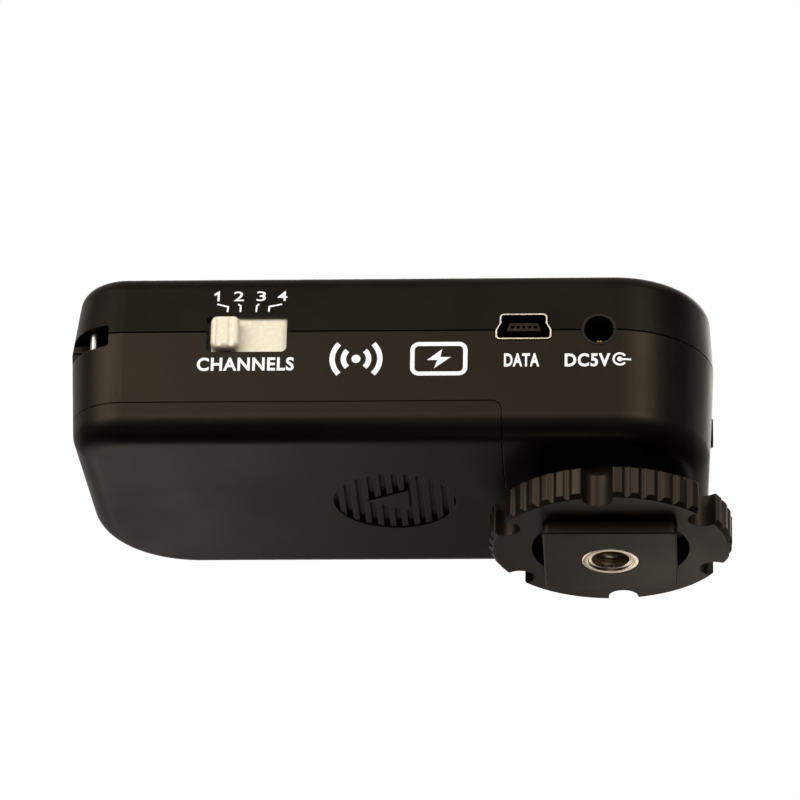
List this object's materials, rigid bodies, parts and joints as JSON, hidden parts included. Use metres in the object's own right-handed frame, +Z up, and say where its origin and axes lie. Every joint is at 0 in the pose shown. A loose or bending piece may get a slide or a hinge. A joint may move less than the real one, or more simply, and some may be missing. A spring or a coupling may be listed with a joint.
{
  "type": "wireless flash trigger receiver",
  "caption": "Hand-sized radio receiver that fires a flash: hot shoe on top, locking shoe foot with tripod thread below, channel switch and sockets on the sides.",
  "frame": {"origin": "centre of the tripod thread's mouth, on the underside of the shoe foot", "axes": "+X along the housing towards the shoe end, +Y away from the face with the channel switch, +Z up through the hot shoe"},
  "size_m": [0.0921, 0.0463, 0.0378],
  "materials": {
    "housing_black": "fine-textured warm near-black ABS",
    "door_black": "fine-textured warm near-black ABS",
    "foot_black": "near-black glass-filled nylon",
    "wheel_black": "near-black nylon, moulded knurl",
    "label_film": "dark grey polycarbonate film",
    "button_grey": "dark grey",
    "switch_black": "moulded",
    "socket_black": "satin moulded",
    "insulator_black": "moulded",
    "chip_black": "epoxy",
    "cream_plastic": "cream acetal",
    "board_green": "solder mask",
    "led_body": "milky",
    "clear_plastic": "clear acrylic",
    "cell_wrap": "printed sleeve",
    "capacitor_can": "drawn can",
    "tinned_can": "tinned",
    "nickel": "bright nickel plate",
    "nickel_strip": "nickel-plated strip",
    "steel": "satin",
    "shoe_steel": "satin nickel plate",
    "spring_steel": "bright",
    "screw_steel": "zinc",
    "gold": "gold flash"
  },
  "bodies": {
    "housing": {"top_shell": "housing_black", "top_label": "label_film", "bottom_shell": "housing_black", "strap_pin": "steel", "case_screws": "screw_steel", "battery_cell_front": "cell_wrap", "battery_cell_rear": "cell_wrap", "battery_link_contact": "nickel_strip", "battery_end_contacts": "nickel_strip", "battery_springs": "spring_steel", "main_board": "board_green", "board_screws": "screw_steel", "board_chips": "chip_black", "storage_capacitor": "capacitor_can", "radio_board": "board_green", "radio_shield_can": "tinned_can", "radio_antenna": "gold", "channel_switch_body": "switch_black", "power_switch_body": "switch_black", "usb_shell": "nickel", "usb_tongue": "socket_black", "usb_contacts": "gold", "dc_jack_body": "socket_black", "dc_jack_pin": "gold", "camera_jack": "socket_black", "sync_jack": "socket_black", "tact_switch": "switch_black", "light_pipe": "clear_plastic", "status_led": "led_body", "shoe_rails": "shoe_steel", "shoe_leaf_spring": "spring_steel", "shoe_contact_block": "insulator_black", "shoe_contact_spring": "spring_steel", "shoe_screws": "screw_steel", "mounting_foot": "foot_black", "tripod_insert": "nickel", "foot_screws": "screw_steel"},
    "battery_door": {"battery_door": "door_black"},
    "channel_knob": {"channel_switch_knob": "cream_plastic"},
    "power_knob": {"power_switch_knob": "cream_plastic"},
    "test_button": {"test_button": "button_grey"},
    "shoe_contact": {"shoe_center_contact": "nickel"},
    "lock_wheel": {"lock_wheel": "wheel_black"},
    "lock_washer": {"lock_washer": "steel"}
  },
  "joints": [
    {"name": "battery_door_slide", "type": "slide", "parent": "housing", "child": "battery_door", "axis": [-1, 0, 0], "range_m": [0, 0.06]},
    {"name": "channel_slide", "type": "slide", "parent": "housing", "child": "channel_knob", "axis": [1, 0, 0], "range_m": [0, 0.0059]},
    {"name": "power_slide", "type": "slide", "parent": "housing", "child": "power_knob", "axis": [1, 0, 0], "range_m": [0, 0.002]},
    {"name": "test_press", "type": "slide", "parent": "housing", "child": "test_button", "axis": [0, 0, -1], "range_m": [0, 0.00045], "stiffness_N_per_m": 200},
    {"name": "shoe_contact_press", "type": "slide", "parent": "housing", "child": "shoe_contact", "axis": [0, 0, -1], "range_m": [0, 0.00045], "stiffness_N_per_m": 150, "deforming": ["shoe_contact_spring"]},
    {"name": "lock_wheel_turn", "type": "hinge", "parent": "lock_washer", "child": "lock_wheel", "pos_m": [0, 0, 0.00428], "axis": [0, 0, 1], "range_deg": [0, 720.5]},
    {"name": "lock_washer_lift", "type": "slide", "parent": "housing", "child": "lock_washer", "axis": [0, 0, 1], "range_m": [0, 0.0025]}
  ],
  "couplings": [
    {"joint": "lock_wheel_turn", "follows": "lock_washer_lift", "rad_per_m": 5026.5}
  ]
}
